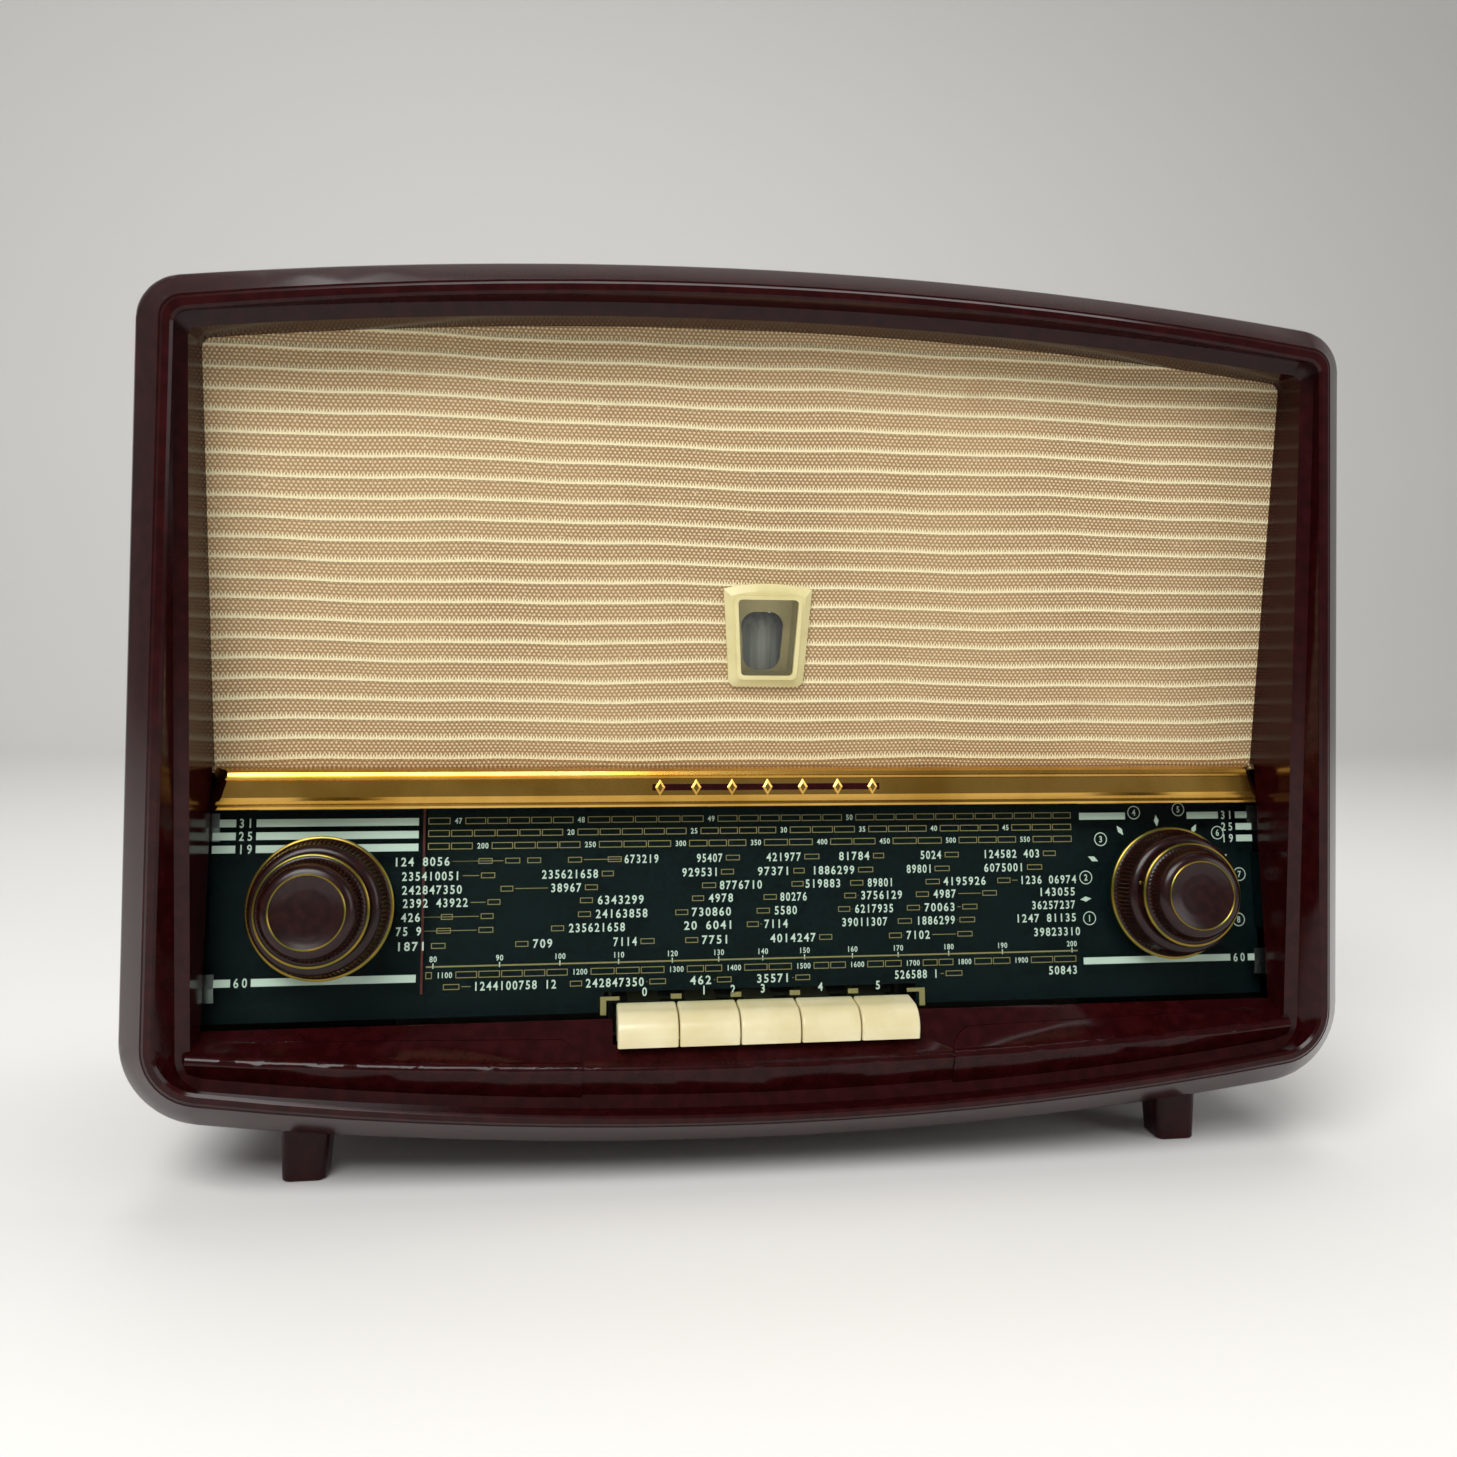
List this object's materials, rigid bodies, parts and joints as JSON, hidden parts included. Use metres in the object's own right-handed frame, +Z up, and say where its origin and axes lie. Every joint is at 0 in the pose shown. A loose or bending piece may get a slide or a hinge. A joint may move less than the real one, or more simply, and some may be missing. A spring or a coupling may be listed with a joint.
{
  "type": "tabletop radio",
  "caption": "Bakelite table radio with a recessed sloping front: cloth speaker panel, tuning eye, printed glass dial, concentric knobs, ivory piano keys and four feet.",
  "frame": {"origin": "centre of the overall box in plan, on the surface under the feet", "axes": "+X along the width to the viewer's right, +Y from the front to the back, +Z up"},
  "size_m": [0.451, 0.2, 0.3312],
  "materials": {
    "bakelite": "moulded, polished",
    "knob_bakelite": "moulded, polished",
    "zinc_steel": "zinc plated",
    "hardboard": "pressed fibre board",
    "board_wood": "plywood",
    "speaker_fabric": "woven",
    "spring_steel": "bright",
    "gold_anodised": "gold anodised, polished",
    "magnet_iron": "painted",
    "can_aluminium": "drawn",
    "cream_plastic": "moulded",
    "clear_plastic": "clear",
    "tube_glass": "clear",
    "eye_metal": "dark nickel",
    "black_moulding": "moulded phenolic",
    "dial_glass": "polished, printed behind",
    "dial_green": "satin paint",
    "lamp_brass": "bright",
    "pointer_metal": "painted",
    "brass_wheels": "turned",
    "dial_cord": "braided",
    "brass_ring": "aged, bright edge",
    "chassis_steel": "passivated",
    "inlet_rubber": "moulded",
    "speaker_steel": "zinc plated",
    "paper_cone": "pressed paper",
    "transformer_iron": "varnished laminations",
    "ferrite": "sintered, paper coil formers",
    "ivory_plastic": "moulded"
  },
  "bodies": {
    "cabinet_body": {"cabinet": "bakelite", "feet": "bakelite", "base_screws": "zinc_steel", "rear_cover": "hardboard", "rear_cover_screws": "zinc_steel", "baffle_board": "board_wood", "speaker_cloth": "speaker_fabric", "fascia_screws": "zinc_steel", "glass_clips": "spring_steel", "trim_bar": "gold_anodised", "speaker_magnet": "magnet_iron", "coil_cans": "can_aluminium", "eye_bezel": "cream_plastic", "eye_window": "clear_plastic", "eye_tube": "tube_glass", "eye_target": "eye_metal", "eye_socket": "black_moulding", "dial_glass": "dial_glass", "dial_backplate": "dial_green", "dial_lamps": "lamp_brass", "mounting_plate": "zinc_steel", "pointer_rail": "spring_steel", "pointer_cord": "dial_cord", "drive_cord": "dial_cord", "gang_frame": "zinc_steel", "gang_stator": "can_aluminium", "volume_tone_control": "zinc_steel", "key_frame": "zinc_steel", "chassis": "chassis_steel", "mains_inlet": "inlet_rubber", "speaker_frame": "speaker_steel", "valves": "tube_glass", "transformers": "transformer_iron", "rod_holder": "black_moulding", "rear_sockets": "black_moulding"},
    "tuning": {"tuning_knob": "knob_bakelite", "tuning_knob_rings": "brass_ring", "tuning_shaft": "spring_steel"},
    "antenna": {"antenna_knob": "knob_bakelite", "antenna_knob_ring": "brass_ring", "antenna_shaft": "brass_wheels"},
    "volume": {"volume_knob": "knob_bakelite", "volume_knob_rings": "brass_ring", "volume_shaft": "spring_steel"},
    "tone": {"tone_knob": "knob_bakelite", "tone_knob_ring": "brass_ring", "tone_shaft": "brass_wheels"},
    "pointer": {"dial_pointer": "pointer_metal"},
    "idler_l": {"idler_left": "brass_wheels"},
    "idler_r": {"idler_right": "brass_wheels"},
    "gang": {"gang_rotor": "can_aluminium", "drive_drum": "black_moulding"},
    "cone": {"speaker_cone": "paper_cone"},
    "aerial_rod": {"ferrite_rod": "ferrite"},
    "selector": {"voltage_selector": "black_moulding"},
    "key_1": {"key_1": "ivory_plastic"},
    "key_2": {"key_2": "ivory_plastic"},
    "key_3": {"key_3": "ivory_plastic"},
    "key_4": {"key_4": "ivory_plastic"},
    "key_5": {"key_5": "ivory_plastic"}
  },
  "joints": [
    {"name": "tuning_turn", "type": "hinge", "parent": "cabinet_body", "child": "tuning", "pos_m": [0.1606, -0.0692, 0.1], "axis": [0, 0.9877, -0.1564], "range_deg": [0, 2070]},
    {"name": "pointer_travel", "type": "slide", "parent": "cabinet_body", "child": "pointer", "axis": [1, 0, 0], "range_m": [0, 0.24949]},
    {"name": "idler_left_turn", "type": "hinge", "parent": "cabinet_body", "child": "idler_l", "pos_m": [-0.14, -0.06294, 0.13951], "axis": [0, 0.9877, -0.1564], "range_deg": [0, 1786.38]},
    {"name": "idler_right_turn", "type": "hinge", "parent": "cabinet_body", "child": "idler_r", "pos_m": [0.14, -0.06294, 0.13951], "axis": [0, 0.9877, -0.1564], "range_deg": [0, 1786.38]},
    {"name": "gang_turn", "type": "hinge", "parent": "cabinet_body", "child": "gang", "pos_m": [0.105, -0.06357, 0.13556], "axis": [0, 0.9877, -0.1564], "range_deg": [0, 183.65]},
    {"name": "antenna_turn", "type": "hinge", "parent": "cabinet_body", "child": "antenna", "pos_m": [0.1606, -0.0692, 0.1], "axis": [0, 0.9877, -0.1564], "range_deg": [-28, 189]},
    {"name": "rod_turn", "type": "hinge", "parent": "cabinet_body", "child": "aerial_rod", "pos_m": [0, 0.0165, 0.303], "axis": [0, 0, 1], "range_deg": [-15, 95]},
    {"name": "volume_turn", "type": "hinge", "parent": "cabinet_body", "child": "volume", "pos_m": [-0.1606, -0.0692, 0.1], "axis": [0, 0.9877, -0.1564], "range_deg": [0, 280]},
    {"name": "tone_turn", "type": "hinge", "parent": "cabinet_body", "child": "tone", "pos_m": [-0.1606, -0.0692, 0.1], "axis": [0, 0.9877, -0.1564], "range_deg": [-135, 135]},
    {"name": "key_1_press", "type": "hinge", "parent": "cabinet_body", "child": "key_1", "pos_m": [-0.04474, -0.0375, 0.055], "axis": [1, 0, 0], "range_deg": [0, 4], "stiffness_Nm_per_rad": 1.2, "springref_deg": -2.86},
    {"name": "key_2_press", "type": "hinge", "parent": "cabinet_body", "child": "key_2", "pos_m": [-0.02237, -0.0375, 0.055], "axis": [1, 0, 0], "range_deg": [0, 4], "stiffness_Nm_per_rad": 1.2, "springref_deg": -2.86},
    {"name": "key_3_press", "type": "hinge", "parent": "cabinet_body", "child": "key_3", "pos_m": [0, -0.0375, 0.055], "axis": [1, 0, 0], "range_deg": [0, 4], "stiffness_Nm_per_rad": 1.2, "springref_deg": -2.86},
    {"name": "key_4_press", "type": "hinge", "parent": "cabinet_body", "child": "key_4", "pos_m": [0.02237, -0.0375, 0.055], "axis": [1, 0, 0], "range_deg": [0, 4], "stiffness_Nm_per_rad": 1.2, "springref_deg": -2.86},
    {"name": "key_5_press", "type": "hinge", "parent": "cabinet_body", "child": "key_5", "pos_m": [0.04474, -0.0375, 0.055], "axis": [1, 0, 0], "range_deg": [0, 4], "stiffness_Nm_per_rad": 1.2, "springref_deg": -2.86},
    {"name": "cone_travel", "type": "slide", "parent": "cabinet_body", "child": "cone", "axis": [0, -0.9958, -0.0912], "range_m": [-0.0012, 0.0012], "stiffness_N_per_m": 1500},
    {"name": "selector_turn", "type": "hinge", "parent": "cabinet_body", "child": "selector", "pos_m": [0.04, 0.0725, 0.062], "axis": [0, 1, 0], "range_deg": [-60, 60]}
  ],
  "couplings": [
    {"joint": "pointer_travel", "follows": "tuning_turn", "m_per_rad": 0.0069},
    {"joint": "idler_left_turn", "follows": "tuning_turn", "ratio": 0.8625},
    {"joint": "idler_right_turn", "follows": "tuning_turn", "ratio": 0.8625},
    {"joint": "gang_turn", "follows": "tuning_turn", "ratio": 0.088235},
    {"joint": "rod_turn", "follows": "antenna_turn", "ratio": 0.5}
  ]
}
